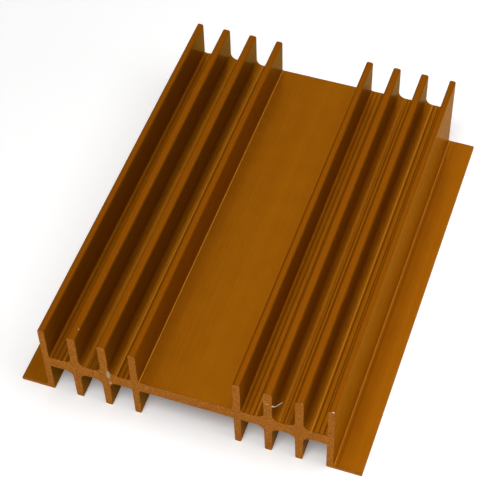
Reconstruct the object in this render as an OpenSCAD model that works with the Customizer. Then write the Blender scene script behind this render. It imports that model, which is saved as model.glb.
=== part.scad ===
// Double-sided extruded heat sink. One aluminium profile, cut to length and anodised:
// a web with a flat channel for the power device in the middle, a bank of fins on each side
// of it, shorter legs in line with the fins below the web, and a thin flange along each foot
// of the outermost walls. The section lies in X and Z, and the extrusion runs along Y.

/* [Extrusion] */
// Length that the profile is cut to
sink_length = 150; // [40:1:300]
// Height from the underside of the flanges to the tips of the fins
sink_height = 33.2; // [27:0.1:60]

/* [Web] */
// Height of the underside of the web above the underside of the flanges
web_underside = 13.6; // [8:0.1:17]
// Thickness of the web
web_thickness = 5; // [3:0.1:8]
// Clear width of the flat channel between the two banks of fins
device_channel = 32.8; // [20:0.1:60]

/* [Fins] */
// Number of fins on each side of the device channel
fins_per_side = 4; // [2:1:8]
// Distance between the middles of neighbouring fins
fin_pitch = 10.5; // [9:0.1:16]
// Thickness of the fin beside the device channel
device_fin = 2.5; // [1.8:0.1:3.2]
// Thickness of the fins in the middle of a bank
middle_fin = 2.8; // [1.8:0.1:3.4]
// Thickness of the outermost fin
outer_fin = 2.3; // [1.8:0.1:3.2]
// Radius of the two corners of each fin tip
tip_radius = 0.8; // [0.2:0.05:0.85]

/* [Legs] */
// How much thinner a leg is at its foot than at the web
leg_taper = 0.4; // [0:0.05:0.6]
// Radius of the two corners of each foot
foot_radius = 0.5; // [0.1:0.05:0.6]

/* [Roots] */
// Radius of the fillets at the roots of the middle fins and legs
root_fillet = 2.6; // [0.6:0.1:2.9]
// Radius of the small fillets in the other inside corners
corner_fillet = 0.4; // [0.2:0.05:0.6]

/* [Flanges] */
// Width of each flange beyond the outermost wall
flange_width = 9.8; // [4:0.1:25]
// Thickness of the flanges
flange_thickness = 1.5; // [1:0.1:3]
// Radius of the upper edge of each flange
flange_edge = 0.4; // [0.1:0.05:0.8]

/* [Floor grooves] */
// Grooves along the floor of each space between two fins
groove_count = 3; // [1:1:5]
// Distance between the grooves where the floor has one large fillet
wide_groove_pitch = 1.65; // [1.1:0.05:2.2]
// Distance between the grooves where the floor has a large fillet on each side
narrow_groove_pitch = 1.15; // [0.8:0.05:1.6]
// Radius of the round bottom of a groove
groove_radius = 0.2; // [0.1:0.05:0.3]

/* [Hidden] */
$fn = 48;

anodised_gold = "#9a5c0c";
web_top = web_underside + web_thickness;
last_fin = fins_per_side - 1;

// How far pieces of the section run into each other, so that they join
overlap = 0.5;

function fin_thickness(i) = i == 0 ? device_fin : i == last_fin ? outer_fin : middle_fin;
function fin_x(i) = (device_channel + device_fin) / 2 + i * fin_pitch;
function inner_face(i) = fin_x(i) - fin_thickness(i) / 2;
function outer_face(i) = fin_x(i) + fin_thickness(i) / 2;
function is_middle(i) = i > 0 && i < last_fin;
function root_radius(i) = is_middle(i) ? root_fillet : corner_fillet;

flange_end = outer_face(last_fin) + flange_width;

// A straight fin above the web, with both corners of its tip rounded
module fin(i) {
    half = fin_thickness(i) / 2;
    shoulder = sink_height - tip_radius;
    translate([fin_x(i), 0]) {
        polygon([
            [-half, web_underside + overlap],
            [half, web_underside + overlap],
            [half, shoulder],
            [half - tip_radius, sink_height],
            [tip_radius - half, sink_height],
            [-half, shoulder]
        ]);
        for (side = [-1, 1])
            translate([side * (half - tip_radius), shoulder])
                circle(r = tip_radius);
    }
}

// A leg below the web, which tapers to a foot with rounded corners. The outermost leg is straight
module leg(i) {
    root = fin_thickness(i) / 2;
    taper = i == last_fin ? 0 : leg_taper / 2;
    lean = atan2(taper, web_underside);
    // Middle of the circle that touches both the sloping face and the ground
    foot = root - taper + foot_radius * (tan(lean) - 1 / cos(lean));
    touch = [foot + foot_radius * cos(lean), foot_radius * (1 - sin(lean))];
    translate([fin_x(i), 0]) {
        polygon([
            [-root, web_underside + overlap],
            [-root, web_underside],
            [-touch[0], touch[1]],
            [-foot, 0],
            [foot, 0],
            touch,
            [root, web_underside],
            [root, web_underside + overlap]
        ]);
        for (side = [-1, 1])
            translate([side * foot, foot_radius])
                circle(r = foot_radius);
    }
}

// Fills the inside corner at the origin, towards +X and +Y, with a radius
module fillet(radius) {
    difference() {
        translate([-overlap, -overlap])
            square(radius + overlap);
        translate([radius, radius])
            circle(r = radius);
    }
}

// Fillets where a fin and its leg meet the web
module root_fillets(i) {
    for (side = i == last_fin ? [1] : [0, 1])
        translate([side ? inner_face(i) : outer_face(i), 0])
            mirror([side, 0])
                for (below = [0, 1])
                    translate([0, below ? web_underside : web_top])
                        mirror([0, below])
                            fillet(root_radius(i));
}

// The flange along the foot of the outermost wall, with its upper edge rounded
module flange() {
    edge = flange_end - flange_edge;
    translate([fin_x(last_fin), 0])
        square([edge - fin_x(last_fin), flange_thickness]);
    translate([edge - overlap, 0])
        square([flange_edge + overlap, flange_thickness - flange_edge]);
    translate([edge, flange_thickness - flange_edge])
        circle(r = flange_edge);
    translate([outer_face(last_fin), flange_thickness])
        fillet(corner_fillet);
}

// Fine grooves in the floor of the space between a fin and the next one out
module floor_grooves(i) {
    from = outer_face(i) + root_radius(i);
    to = inner_face(i + 1) - root_radius(i + 1);
    pitch = is_middle(i) && is_middle(i + 1) ? narrow_groove_pitch : wide_groove_pitch;
    count = min(groove_count, 1 + floor((to - from) / pitch));
    for (k = [0:1:count - 1])
        translate([(from + to) / 2 + (k - (count - 1) / 2) * pitch, web_top])
            circle(r = groove_radius);
}

// Everything on one side of the middle, apart from the web
module bank() {
    for (i = [0:last_fin]) {
        fin(i);
        leg(i);
        root_fillets(i);
    }
    flange();
}

// The whole section, with X across the sink and Y up
module section() {
    difference() {
        union() {
            translate([-fin_x(last_fin), web_underside])
                square([2 * fin_x(last_fin), web_thickness]);
            for (side = [0, 1])
                mirror([side, 0])
                    bank();
        }
        for (side = [0, 1])
            mirror([side, 0])
                for (i = [0:last_fin - 1])
                    floor_grooves(i);
    }
}

module heat_sink() {
    color(anodised_gold)
        rotate([90, 0, 0])
            linear_extrude(height = sink_length, center = true)
                section();
}

heat_sink();
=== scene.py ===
"""Gold anodised extruded heat sink: its finish, a stray fibre, the studio and the camera."""
import logging
import math
from dataclasses import dataclass, field
from enum import Enum

import bpy
from mathutils import Matrix, Vector


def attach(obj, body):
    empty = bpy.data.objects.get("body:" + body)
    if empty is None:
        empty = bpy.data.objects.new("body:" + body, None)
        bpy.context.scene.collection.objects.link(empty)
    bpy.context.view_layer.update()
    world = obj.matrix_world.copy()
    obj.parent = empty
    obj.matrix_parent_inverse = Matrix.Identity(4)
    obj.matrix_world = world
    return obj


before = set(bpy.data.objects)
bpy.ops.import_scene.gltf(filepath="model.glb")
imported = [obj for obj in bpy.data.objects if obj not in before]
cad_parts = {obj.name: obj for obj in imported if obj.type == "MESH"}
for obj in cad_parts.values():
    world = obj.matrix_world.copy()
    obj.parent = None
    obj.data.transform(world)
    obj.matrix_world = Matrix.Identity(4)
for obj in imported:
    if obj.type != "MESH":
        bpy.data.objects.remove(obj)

MM = 0.001
SRGB_LINEAR_END = 0.04045
SRGB_LINEAR_SLOPE = 12.92
SRGB_OFFSET = 0.055
SRGB_POWER = 2.4
# The mix node's sockets for numbers and for colours share their names, so they are taken by place
NUMBER_A, NUMBER_B = 2, 3
COLOUR_A, COLOUR_B, MIXED_COLOUR = 6, 7, 2
LOG = logging.getLogger("heat_sink")
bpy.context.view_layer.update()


class Residue(Enum):
    """What a mark on the surface is made of, or the painted light it stands for, with its colour."""

    CHALK = "#cdbfa8"
    BARE_METAL = "#f0e2c8"
    # A painted dark reflection
    TARNISH = "#3c1a04"
    # A painted highlight
    BURNISHED_DYE = "#c88c30"


def linear(hex_colour: str) -> tuple[float, float, float, float]:
    """Turn an sRGB hex colour into a linear colour for a shader socket.

    Args:
        hex_colour: The colour as "#rrggbb".

    Returns:
        Red, green, blue and alpha, linear.
    """
    levels = [int(hex_colour[i:i + 2], 16) / 255 for i in (1, 3, 5)]
    red, green, blue = (
        level / SRGB_LINEAR_SLOPE if level <= SRGB_LINEAR_END
        else ((level + SRGB_OFFSET) / (1 + SRGB_OFFSET)) ** SRGB_POWER
        for level in levels
    )
    return red, green, blue, 1.0


def add_node(
    tree: bpy.types.NodeTree, kind: str, inputs: dict | None = None, **settings: str
) -> bpy.types.Node:
    """Add one node, set its options and fill its inputs.

    Args:
        tree: The node tree that takes the node.
        kind: The node's type.
        inputs: Input name or number to a value, or to an output socket that is linked to it.
        settings: The node's own options.

    Returns:
        The new node.
    """
    node = tree.nodes.new(kind)
    for name, value in settings.items():
        setattr(node, name, value)
    for name, value in (inputs or {}).items():
        if isinstance(value, bpy.types.NodeSocket):
            tree.links.new(value, node.inputs[name])
        else:
            node.inputs[name].default_value = value
    return node


def compute(
    tree: bpy.types.NodeTree, operation: str, *values: float | bpy.types.NodeSocket
) -> bpy.types.NodeSocket:
    """Work out one number.

    Args:
        tree: The tree that takes the node.
        operation: The maths node's operation.
        values: Its numbers or sockets, in order.

    Returns:
        The result.
    """
    return add_node(tree, "ShaderNodeMath", dict(enumerate(values)), operation=operation).outputs[0]


def remap(
    tree: bpy.types.NodeTree,
    value: bpy.types.NodeSocket,
    start: float,
    end: float,
    low: float = 0.0,
    high: float = 1.0,
) -> bpy.types.NodeSocket:
    """Turn one range of numbers into another, and hold the result inside it.

    Args:
        tree: The tree that takes the node.
        value: The number to turn.
        start: The value that becomes low.
        end: The value that becomes high.
        low: The result at the start.
        high: The result at the end.

    Returns:
        The result.
    """
    limits = {"From Min": start, "From Max": end, "To Min": low, "To Max": high}
    return add_node(tree, "ShaderNodeMapRange", {"Value": value, **limits}).outputs[0]


def mix_numbers(
    tree: bpy.types.NodeTree,
    share: bpy.types.NodeSocket,
    first: float | bpy.types.NodeSocket,
    second: float | bpy.types.NodeSocket,
) -> bpy.types.NodeSocket:
    """Mix two numbers, where a share of 1 gives the second."""
    inputs = {"Factor": share, NUMBER_A: first, NUMBER_B: second}
    return add_node(tree, "ShaderNodeMix", inputs).outputs[0]


def mix_colours(
    tree: bpy.types.NodeTree,
    share: bpy.types.NodeSocket,
    first: str | bpy.types.NodeSocket,
    second: str | bpy.types.NodeSocket,
    blend_type: str = "MIX",
) -> bpy.types.NodeSocket:
    """Mix two colours.

    Args:
        tree: The tree that takes the node.
        share: How much of the second colour shows, from 0 to 1.
        first: A hex colour or a colour socket.
        second: A hex colour or a colour socket.
        blend_type: How the second colour is laid over the first.

    Returns:
        The mixed colour.
    """
    first, second = (linear(value) if isinstance(value, str) else value for value in (first, second))
    inputs = {"Factor": share, COLOUR_A: first, COLOUR_B: second}
    mix = add_node(tree, "ShaderNodeMix", inputs, data_type="RGBA", blend_type=blend_type)
    return mix.outputs[MIXED_COLOUR]


def noise(
    tree: bpy.types.NodeTree, place: bpy.types.NodeSocket, scale: float, detail: float
) -> bpy.types.NodeSocket:
    """Draw a soft cloudy pattern.

    Args:
        tree: The tree that takes the node.
        place: Where the pattern is read.
        scale: How many clouds there are to a unit of place.
        detail: How many finer layers are added.

    Returns:
        The pattern, from 0 to 1.
    """
    return add_node(
        tree, "ShaderNodeTexNoise", {"Vector": place, "Scale": scale, "Detail": detail}
    ).outputs[0]


def empty_material(name: str) -> bpy.types.Material:
    """Make a node material with nothing in its tree.

    Args:
        name: The finish's plain name.

    Returns:
        The new material.
    """
    material = bpy.data.materials.new(name)
    material.use_nodes = True
    material.node_tree.nodes.clear()
    return material


@dataclass(frozen=True)
class Mark:
    """A speck, nick or line on the surface: an ellipsoid that fades at its rim, in millimetres."""

    place: tuple[float, float, float]
    radii: tuple[float, float, float]
    residue: Residue
    strength: float = 1.0
    solid_share: float = 0.4

    def mask(self, tree: bpy.types.NodeTree, place: bpy.types.NodeSocket) -> bpy.types.NodeSocket:
        """Find the surface that the mark covers.

        Args:
            tree: The material's tree.
            place: Object coordinates.

        Returns:
            The mark's strength over the solid share of its radius, falling to 0 at its rim.
        """
        middle = tuple(value * MM for value in self.place)
        stretch = tuple(1 / (radius * MM) for radius in self.radii)
        offset = add_node(
            tree, "ShaderNodeVectorMath", {0: place, 1: middle}, operation="SUBTRACT"
        ).outputs[0]
        scaled = add_node(
            tree, "ShaderNodeVectorMath", {0: offset, 1: stretch}, operation="MULTIPLY"
        ).outputs[0]
        distance = add_node(tree, "ShaderNodeVectorMath", {0: scaled}, operation="LENGTH").outputs["Value"]
        return remap(tree, distance, 1.0, self.solid_share, high=self.strength)


@dataclass(frozen=True)
class GoldAnodising:
    """Gold-dyed anodising on an extruded section, with its sawn ends.

    The dye sits in a thin clear oxide over bright aluminium, so it reflects as a coloured metal. The
    die leaves fine lines along the extrusion, burnished ones beside matte ones, so the surface is satin
    from above and mirrors what is beside it at a low angle. The saw leaves the ends matte and tan.
    """

    name: str = "gold_anodised_aluminium"
    dye: str = "#955708"
    streak_dye: str = "#8f5106"
    crest_dye: str = "#7c4004"
    # Painted shade in the floor grooves
    groove_shade: str = "#5a2305"
    sawn_dye: str = "#b97430"
    sawn_stain: str = "#95581c"
    burr: str = "#6e3204"
    low_angle_tint: tuple[float, float, float, float] = (1.0, 0.9, 0.5, 1.0)
    burnished_roughness: float = 0.12
    matte_roughness: float = 0.6
    matte_share: tuple[float, float] = (0.44, 0.52)
    sawn_roughness: float = 0.6
    sawn_depth_mm: float = 0.02
    die_line_mm: float = 0.09
    die_line_length_mm: float = 600.0
    die_line_depth_mm: float = 0.002
    die_line_detail: float = 2.0
    streak_share: tuple[float, float] = (0.35, 0.65)
    mottle_mm: float = 7.0
    mottle_share: tuple[float, float] = (0.35, 0.65)
    # The grit is drawn coarser than a real saw leaves it, so that it shows from a hand's distance
    grit_mm: float = 0.4
    grit_depth_mm: float = 0.03
    grit_share: tuple[float, float] = (0.4, 0.6)
    grain_detail: float = 3.0
    burr_mm: float = 0.5
    burr_strength: float = 0.5
    crest_mm: float = 32.85
    crest_strength: float = 0.75
    groove_bottom_mm: float = 18.0
    groove_mouth_mm: float = 18.56
    groove_half_span_mm: float = 49.0
    groove_shade_strength: float = 0.5
    metallic: float = 0.4
    # The dye's own reflection stands for the oxide's, which adds no pale shine of its own
    oxide_gloss: float = 0.0
    half_length_mm: float = 75.0
    # Painted highlight lines at the feet of fins and outer walls, across and up
    highlight_edges_mm: tuple[tuple[float, float], ...] = (
        (16.1, 18.6), (24.15, 18.6), (32.15, 18.6), (34.65, 18.6), (42.65, 18.6), (50.7, 1.5),
    )
    # Reach across, along and up: far past both ends, so that a line doesn't fade towards them
    highlight_reach_mm: tuple[float, float, float] = (0.2, 300.0, 0.4)
    highlight_strength: float = 0.6
    # Painted shade, darker towards the left, where less light falls: it starts at the first place across
    # the profile and is full at the second
    left_shade: str = "#ebebeb"
    left_shade_mm: tuple[float, float] = (20.0, -5.0)
    # Dried polish on the front end, lint dust on the sixth fin, a nick in the eighth fin's tip, a painted
    # highlight on the seventh fin's tip, an old scratch, and a painted dark reflection along the fifth
    # fin's top
    marks: tuple[Mark, ...] = (
        Mark((-26.9, -75, 18), (0.9, 1, 2.8), Residue.CHALK, 0.6),
        Mark((-26.5, -75, 13.5), (0.7, 1, 0.9), Residue.CHALK, 0.55),
        Mark((-13.5, -75, 17), (0.6, 1, 0.5), Residue.CHALK, 0.35),
        Mark((26.7, -75, 28.4), (0.55, 1, 0.5), Residue.CHALK, 0.6),
        Mark((27.9, -75, 27.4), (0.9, 1, 0.35), Residue.CHALK, 0.5),
        Mark((49.6, -75, 33.1), (0.55, 0.4, 0.24), Residue.BARE_METAL, 0.8),
        # Painted highlight at the front of the seventh fin's tip
        Mark((39.5, -75, 33.1), (0.35, 0.3, 0.2), Residue.BARE_METAL, 0.3),
        Mark((-37.6, -70.5, 32.9), (0.2, 0.45, 0.4), Residue.CHALK, 0.6),
        # Painted dark reflection along the rounded left edge of the fifth fin's top
        Mark((16.95, 0, 33.2), (0.22, 150, 0.5), Residue.TARNISH, 0.45),
    )

    def build(self) -> bpy.types.Material:
        """Build the material.

        Returns:
            The material, which reads Object coordinates.
        """
        material = empty_material(self.name)
        tree = material.node_tree
        place = add_node(tree, "ShaderNodeTexCoord").outputs["Object"]
        axes = add_node(tree, "ShaderNodeSeparateXYZ", {0: place}).outputs
        distance = compute(tree, "ABSOLUTE", axes["Y"])
        sawn = compute(tree, "GREATER_THAN", distance, (self.half_length_mm - self.sawn_depth_mm) * MM)
        lines = self.die_lines(tree, place)
        grit = self.grain(tree, place, self.grit_mm)

        drawn_colour = self.drawn_colour(tree, place, axes, lines, distance)
        stained = remap(tree, grit, *self.grit_share)
        sawn_colour = mix_colours(tree, stained, self.sawn_dye, self.sawn_stain)
        clean = mix_colours(tree, sawn, drawn_colour, sawn_colour)
        colour, metallic = self.marked(tree, place, clean)

        matte = remap(tree, lines, *self.matte_share)
        polish = mix_numbers(tree, matte, self.burnished_roughness, self.matte_roughness)
        roughness = mix_numbers(tree, sawn, polish, self.sawn_roughness)
        shader = add_node(
            tree, "ShaderNodeBsdfPrincipled",
            {
                "Base Color": colour, "Metallic": metallic, "Roughness": roughness,
                "Specular IOR Level": self.oxide_gloss,
                "Specular Tint": self.low_angle_tint,
                "Normal": self.relief(tree, sawn, lines, grit),
            },
        )
        add_node(tree, "ShaderNodeOutputMaterial", {"Surface": shader.outputs[0]})
        return material

    def drawn_colour(
        self,
        tree: bpy.types.NodeTree,
        place: bpy.types.NodeSocket,
        axes: bpy.types.bpy_prop_collection,
        lines: bpy.types.NodeSocket,
        distance: bpy.types.NodeSocket,
    ) -> bpy.types.NodeSocket:
        """Colour the surfaces that came out of the die.

        Args:
            tree: The material's tree.
            place: Object coordinates.
            axes: The outputs X, Y and Z, in metres.
            lines: The die lines.
            distance: How far the place is from the middle of the length, in metres.

        Returns:
            The dye, deeper in clouds and lines, redder on the tops of the fins, which handling has
            darkened, darker in the floor grooves, and darker in a thin burr line at each sawn edge.
        """
        clouds = remap(tree, self.grain(tree, place, self.mottle_mm), *self.mottle_share)
        deep = compute(tree, "MULTIPLY", clouds, remap(tree, lines, *self.streak_share))
        # Painted shade: the colour darkens towards the left, where less light falls
        dyed = self.paint_left_shade(tree, mix_colours(tree, deep, self.dye, self.streak_dye), axes["X"])
        crest = compute(tree, "GREATER_THAN", axes["Z"], self.crest_mm * MM)
        handled = compute(tree, "MULTIPLY", crest, self.crest_strength)
        dyed = mix_colours(tree, handled, dyed, self.crest_dye)
        # Painted shade in the floor grooves
        dyed = mix_colours(tree, self.groove_shade_mask(tree, axes), dyed, self.groove_shade)
        burr_start = (self.half_length_mm - self.burr_mm) * MM
        burr = remap(tree, distance, burr_start, self.half_length_mm * MM, high=self.burr_strength)
        return mix_colours(tree, burr, dyed, self.burr)

    def paint_left_shade(
        self, tree: bpy.types.NodeTree, dyed: bpy.types.NodeSocket, across: bpy.types.NodeSocket
    ) -> bpy.types.NodeSocket:
        """Paint shade towards the left, where less light falls.

        Args:
            tree: The material's tree.
            dyed: The dye's colour.
            across: X, in metres.

        Returns:
            The colour, with painted shade darker from the device channel leftwards.
        """
        right, left = (edge * MM for edge in self.left_shade_mm)
        share = remap(tree, across, right, left)
        return mix_colours(tree, share, dyed, self.left_shade, "MULTIPLY")

    def groove_shade_mask(
        self, tree: bpy.types.NodeTree, axes: bpy.types.bpy_prop_collection
    ) -> bpy.types.NodeSocket:
        """Find the grooves in the floors between the fins, which take painted shade.

        Args:
            tree: The material's tree.
            axes: The outputs X, Y and Z, in metres.

        Returns:
            The strength of the painted shade.
        """
        height = (self.groove_bottom_mm + self.groove_mouth_mm) / 2 * MM
        reach = (self.groove_mouth_mm - self.groove_bottom_mm) / 2 * MM
        deep = compute(tree, "COMPARE", axes["Z"], height, reach)
        across = compute(tree, "ABSOLUTE", axes["X"])
        inner = compute(tree, "LESS_THAN", across, self.groove_half_span_mm * MM)
        both = compute(tree, "MULTIPLY", deep, inner)
        return compute(tree, "MULTIPLY", both, self.groove_shade_strength)

    def painted_highlight_lines(self) -> list[Mark]:
        """List the painted highlight lines at the feet of fins and outer walls.

        Returns:
            A mark along the whole length for each line, on both sides of the middle.
        """
        reach = self.highlight_reach_mm
        return [
            Mark((side * across, 0, height), reach, Residue.BURNISHED_DYE, self.highlight_strength)
            for across, height in self.highlight_edges_mm
            for side in (-1, 1)
        ]

    def marked(
        self, tree: bpy.types.NodeTree, place: bpy.types.NodeSocket, clean: bpy.types.NodeSocket
    ) -> tuple[bpy.types.NodeSocket, bpy.types.NodeSocket]:
        """Lay the marks, painted highlights and a painted dark reflection among them, over the clean
        surface.

        Args:
            tree: The material's tree.
            place: Object coordinates.
            clean: The colour without marks.

        Returns:
            The marked colour, and how metallic the surface is: chalk and the painted dark reflection are
            not metal.
        """
        colour = clean
        covered = 0.0
        # The painted highlight lines, then the marks
        for mark in (*self.painted_highlight_lines(), *self.marks):
            mask = mark.mask(tree, place)
            colour = mix_colours(tree, mask, colour, mark.residue.value)
            if mark.residue in (Residue.CHALK, Residue.TARNISH):
                covered = compute(tree, "MAXIMUM", covered, mask)
        bare = compute(tree, "SUBTRACT", 1.0, covered)
        return colour, compute(tree, "MULTIPLY", bare, self.metallic)

    def relief(
        self,
        tree: bpy.types.NodeTree,
        sawn: bpy.types.NodeSocket,
        lines: bpy.types.NodeSocket,
        grit: bpy.types.NodeSocket,
    ) -> bpy.types.NodeSocket:
        """Raise the die lines on the drawn surfaces and the grit on the sawn ends.

        Args:
            tree: The material's tree.
            sawn: 1 on the sawn ends.
            lines: The die lines.
            grit: The saw's grit.

        Returns:
            The normal.
        """
        line_height = compute(tree, "MULTIPLY", lines, self.die_line_depth_mm * MM)
        grit_height = compute(tree, "MULTIPLY", grit, self.grit_depth_mm * MM)
        height = mix_numbers(tree, sawn, line_height, grit_height)
        return add_node(
            tree, "ShaderNodeBump", {"Height": height, "Strength": 1.0, "Distance": 1.0}
        ).outputs[0]

    def die_lines(self, tree: bpy.types.NodeTree, place: bpy.types.NodeSocket) -> bpy.types.NodeSocket:
        """Draw the fine lines that the die leaves along the extrusion.

        Args:
            tree: The material's tree.
            place: Object coordinates.

        Returns:
            The pattern, from 0 to 1.
        """
        across = 1 / (self.die_line_mm * MM)
        along = 1 / (self.die_line_length_mm * MM)
        stretched = add_node(
            tree, "ShaderNodeVectorMath", {0: place, 1: (across, along, across)}, operation="MULTIPLY"
        ).outputs[0]
        return noise(tree, stretched, 1.0, self.die_line_detail)

    def grain(
        self, tree: bpy.types.NodeTree, place: bpy.types.NodeSocket, size_mm: float
    ) -> bpy.types.NodeSocket:
        """Draw a soft even grain.

        Args:
            tree: The material's tree.
            place: Object coordinates.
            size_mm: The size of the grain.

        Returns:
            The pattern, from 0 to 1.
        """
        return noise(tree, place, 1 / (size_mm * MM), self.grain_detail)


@dataclass
class HeatSink:
    """The extruded heat sink, one CAD node."""

    node: str = "heat_sink"
    finish: GoldAnodising = field(default_factory=GoldAnodising)

    def dress(self) -> bpy.types.Object:
        """Give the CAD node its finish.

        Returns:
            The CAD node's object.
        """
        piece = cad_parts[self.node]
        material = self.finish.build()
        for place in piece.material_slots:
            place.material = material
        return piece


@dataclass(frozen=True)
class CottonFibre:
    """Undyed cotton, a dull off-white with no clear shine."""

    name: str = "cotton_fibre"
    pale: str = "#dcd2bd"
    grey: str = "#b3a78f"
    roughness: float = 0.85
    fleck_mm: float = 0.8
    fleck_detail: float = 2.0

    def build(self) -> bpy.types.Material:
        """Build the material.

        Returns:
            The material, which reads Object coordinates.
        """
        material = empty_material(self.name)
        tree = material.node_tree
        place = add_node(tree, "ShaderNodeTexCoord").outputs["Object"]
        flecks = noise(tree, place, 1 / (self.fleck_mm * MM), self.fleck_detail)
        colour = mix_colours(tree, flecks, self.pale, self.grey)
        shader = add_node(
            tree, "ShaderNodeBsdfPrincipled", {"Base Color": colour, "Roughness": self.roughness}
        )
        add_node(tree, "ShaderNodeOutputMaterial", {"Surface": shader.outputs[0]})
        return material


@dataclass
class LintFibre:
    """A stray fibre that hangs from the front edge of a fin and curls up at its free end.

    Sizes are in millimetres. The bends run from the fin to the free end, in the plane of the front face.
    """

    name: str = "lint_fibre"
    radius_mm: float = 0.2
    sides: int = 6
    depth_mm: float = -74.8
    smoothing: int = 2
    bends_mm: tuple[tuple[float, float], ...] = (
        (28.7, 27.2), (29.6, 26.6), (30.3, 26.5), (31.5, 28.1), (33.3, 31.0),
    )
    finish: CottonFibre = field(default_factory=CottonFibre)

    def build(self) -> bpy.types.Object:
        """Model the fibre and give it its finish.

        Returns:
            The fibre's object, which rides on the sink.
        """
        bpy.ops.object.select_all(action="DESELECT")
        start = self.bends_mm[0]
        bpy.ops.mesh.primitive_circle_add(
            vertices=self.sides, radius=self.radius_mm * MM, fill_type="NGON",
            location=(start[0] * MM, self.depth_mm * MM, start[1] * MM),
            rotation=(0.0, math.pi / 2, 0.0),
        )
        fibre = bpy.context.active_object
        fibre.name = self.name
        bpy.ops.object.transform_apply(location=True, rotation=True, scale=True)
        bpy.ops.object.mode_set(mode="EDIT")
        bpy.ops.mesh.select_all(action="SELECT")
        for near, far in zip(self.bends_mm, self.bends_mm[1:]):
            step = ((far[0] - near[0]) * MM, 0.0, (far[1] - near[1]) * MM)
            bpy.ops.mesh.extrude_region_move(TRANSFORM_OT_translate={"value": step})
        bpy.ops.mesh.select_all(action="SELECT")
        bpy.ops.mesh.normals_make_consistent(inside=False)
        bpy.ops.object.mode_set(mode="OBJECT")
        curl = fibre.modifiers.new("curl", "SUBSURF")
        curl.levels = self.smoothing
        curl.render_levels = self.smoothing
        bpy.ops.object.modifier_apply(modifier=curl.name)
        bpy.ops.object.shade_smooth()
        fibre.data.materials.append(self.finish.build())
        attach(fibre, "root")
        return fibre


@dataclass(frozen=True)
class Lamp:
    """A soft square lamp that faces the middle of the object, in metres and watts."""

    name: str
    place: tuple[float, float, float]
    size: float
    power: float

    def hang(self) -> None:
        """Add the lamp to the scene."""
        light = bpy.data.lights.new(self.name, "AREA")
        light.size = self.size
        light.energy = self.power
        holder = bpy.data.objects.new(self.name, light)
        holder.location = self.place
        holder.rotation_euler = (-Vector(self.place)).to_track_quat("-Z", "Y").to_euler()
        bpy.context.scene.collection.objects.link(holder)


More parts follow.
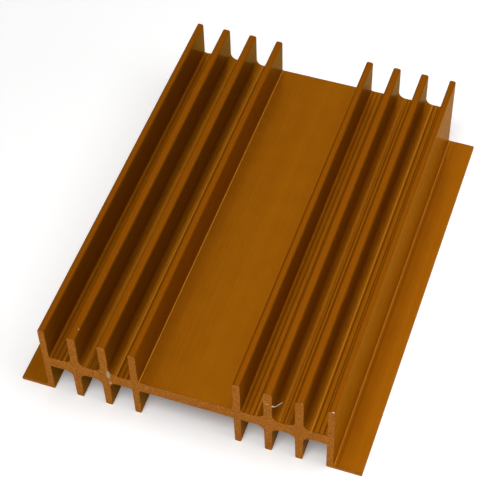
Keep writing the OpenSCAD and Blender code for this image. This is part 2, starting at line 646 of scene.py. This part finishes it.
@dataclass
class Studio:
    """A plain white floor, a white surround and soft lamps."""

    floor_size: float = 3.0
    floor_white: str = "#fbfbfb"
    floor_lift: float = 0.16
    backdrop_white: str = "#ffffff"
    near_floor: float = 0.2
    far_floor: float = 0.9
    world_light: float = 0.08
    lamps: tuple[Lamp, ...] = (
        Lamp("overhead", (0.0, 0.0, 1.0), 0.7, 1.3),
        Lamp("front", (0.0, -0.44, 0.9), 0.35, 4.7),
        Lamp("rear", (0.0, 0.57, 0.82), 0.7, 0.9),
        Lamp("right_high", (0.25, 0.0, 0.54), 0.4, 1.25),
        Lamp("right_low", (0.58, -0.04, 0.16), 0.3, 0.6),
    )

    def build(self) -> None:
        """Build the floor, the surround and the lamps."""
        self.build_floor()
        self.build_world()
        for lamp in self.lamps:
            lamp.hang()

    def build_floor(self) -> None:
        """Lay the floor under the object."""
        bpy.ops.object.select_all(action="DESELECT")
        bpy.ops.mesh.primitive_plane_add(size=self.floor_size)
        floor = bpy.context.active_object
        floor.name = "studio_floor"
        material = empty_material("studio_floor")
        tree = material.node_tree
        paint = add_node(tree, "ShaderNodeBsdfDiffuse", {"Color": linear(self.floor_white)})
        place = add_node(tree, "ShaderNodeTexCoord").outputs["Object"]
        away = add_node(tree, "ShaderNodeVectorMath", {0: place}, operation="LENGTH").outputs["Value"]
        lift = remap(tree, away, self.near_floor, self.far_floor, low=self.floor_lift)
        strength = compute(tree, "MULTIPLY", self.seen(tree), lift)
        glow = add_node(tree, "ShaderNodeEmission", {"Strength": strength})
        both = add_node(tree, "ShaderNodeAddShader", {0: paint.outputs[0], 1: glow.outputs[0]})
        add_node(tree, "ShaderNodeOutputMaterial", {"Surface": both.outputs[0]})
        floor.data.materials.append(material)

    def build_world(self) -> None:
        """Light the scene evenly, and show white behind the object and in its reflections."""
        world = bpy.data.worlds.new("studio")
        world.use_nodes = True
        tree = world.node_tree
        tree.nodes.clear()
        strength = remap(tree, self.seen(tree), 0.0, 1.0, low=self.world_light)
        light = add_node(
            tree, "ShaderNodeBackground", {"Color": linear(self.backdrop_white), "Strength": strength}
        )
        add_node(tree, "ShaderNodeOutputWorld", {"Surface": light.outputs[0]})
        bpy.context.scene.world = world

    def seen(self, tree: bpy.types.NodeTree) -> bpy.types.NodeSocket:
        """Find the rays that show the backdrop, to the camera or in a reflection.

        Args:
            tree: The tree that takes the nodes.

        Returns:
            1 for a camera, glossy or transmission ray, and 0 for the rest.
        """
        rays = add_node(tree, "ShaderNodeLightPath").outputs
        shown = compute(tree, "MAXIMUM", rays["Is Camera Ray"], rays["Is Glossy Ray"])
        return compute(tree, "MAXIMUM", shown, rays["Is Transmission Ray"])


@dataclass
class ViewCamera:
    """The camera, which looks down on the sink from the front right."""

    place: tuple[float, float, float] = (0.1149, -0.32, 0.4344)
    target: tuple[float, float, float] = (-0.0053, 0.0019, 0.0)
    roll_degrees: float = -1.8
    lens_mm: float = 110.07
    sensor_mm: float = 36.0

    def build(self) -> None:
        """Add the camera and make it the scene's."""
        data = bpy.data.cameras.new("camera")
        data.lens = self.lens_mm
        data.sensor_width = self.sensor_mm
        camera = bpy.data.objects.new("camera", data)
        place = Vector(self.place)
        level = (Vector(self.target) - place).to_track_quat("-Z", "Y").to_matrix()
        turn = Matrix.Rotation(math.radians(self.roll_degrees), 3, "Z")
        camera.matrix_world = Matrix.Translation(place) @ (level @ turn).to_4x4()
        bpy.context.scene.collection.objects.link(camera)
        bpy.context.scene.camera = camera


def main() -> None:
    """Build the scene piece by piece."""
    logging.basicConfig(level=logging.INFO, format="%(name)s: %(message)s")
    bpy.context.scene.view_settings.view_transform = "Standard"
    sink = HeatSink().dress()
    LOG.info("dressed %s", sink.name)
    fibre = LintFibre().build()
    LOG.info("built %s", fibre.name)
    Studio().build()
    LOG.info("built the studio")
    ViewCamera().build()
    LOG.info("placed the camera")


if __name__ == "__main__":
    main()
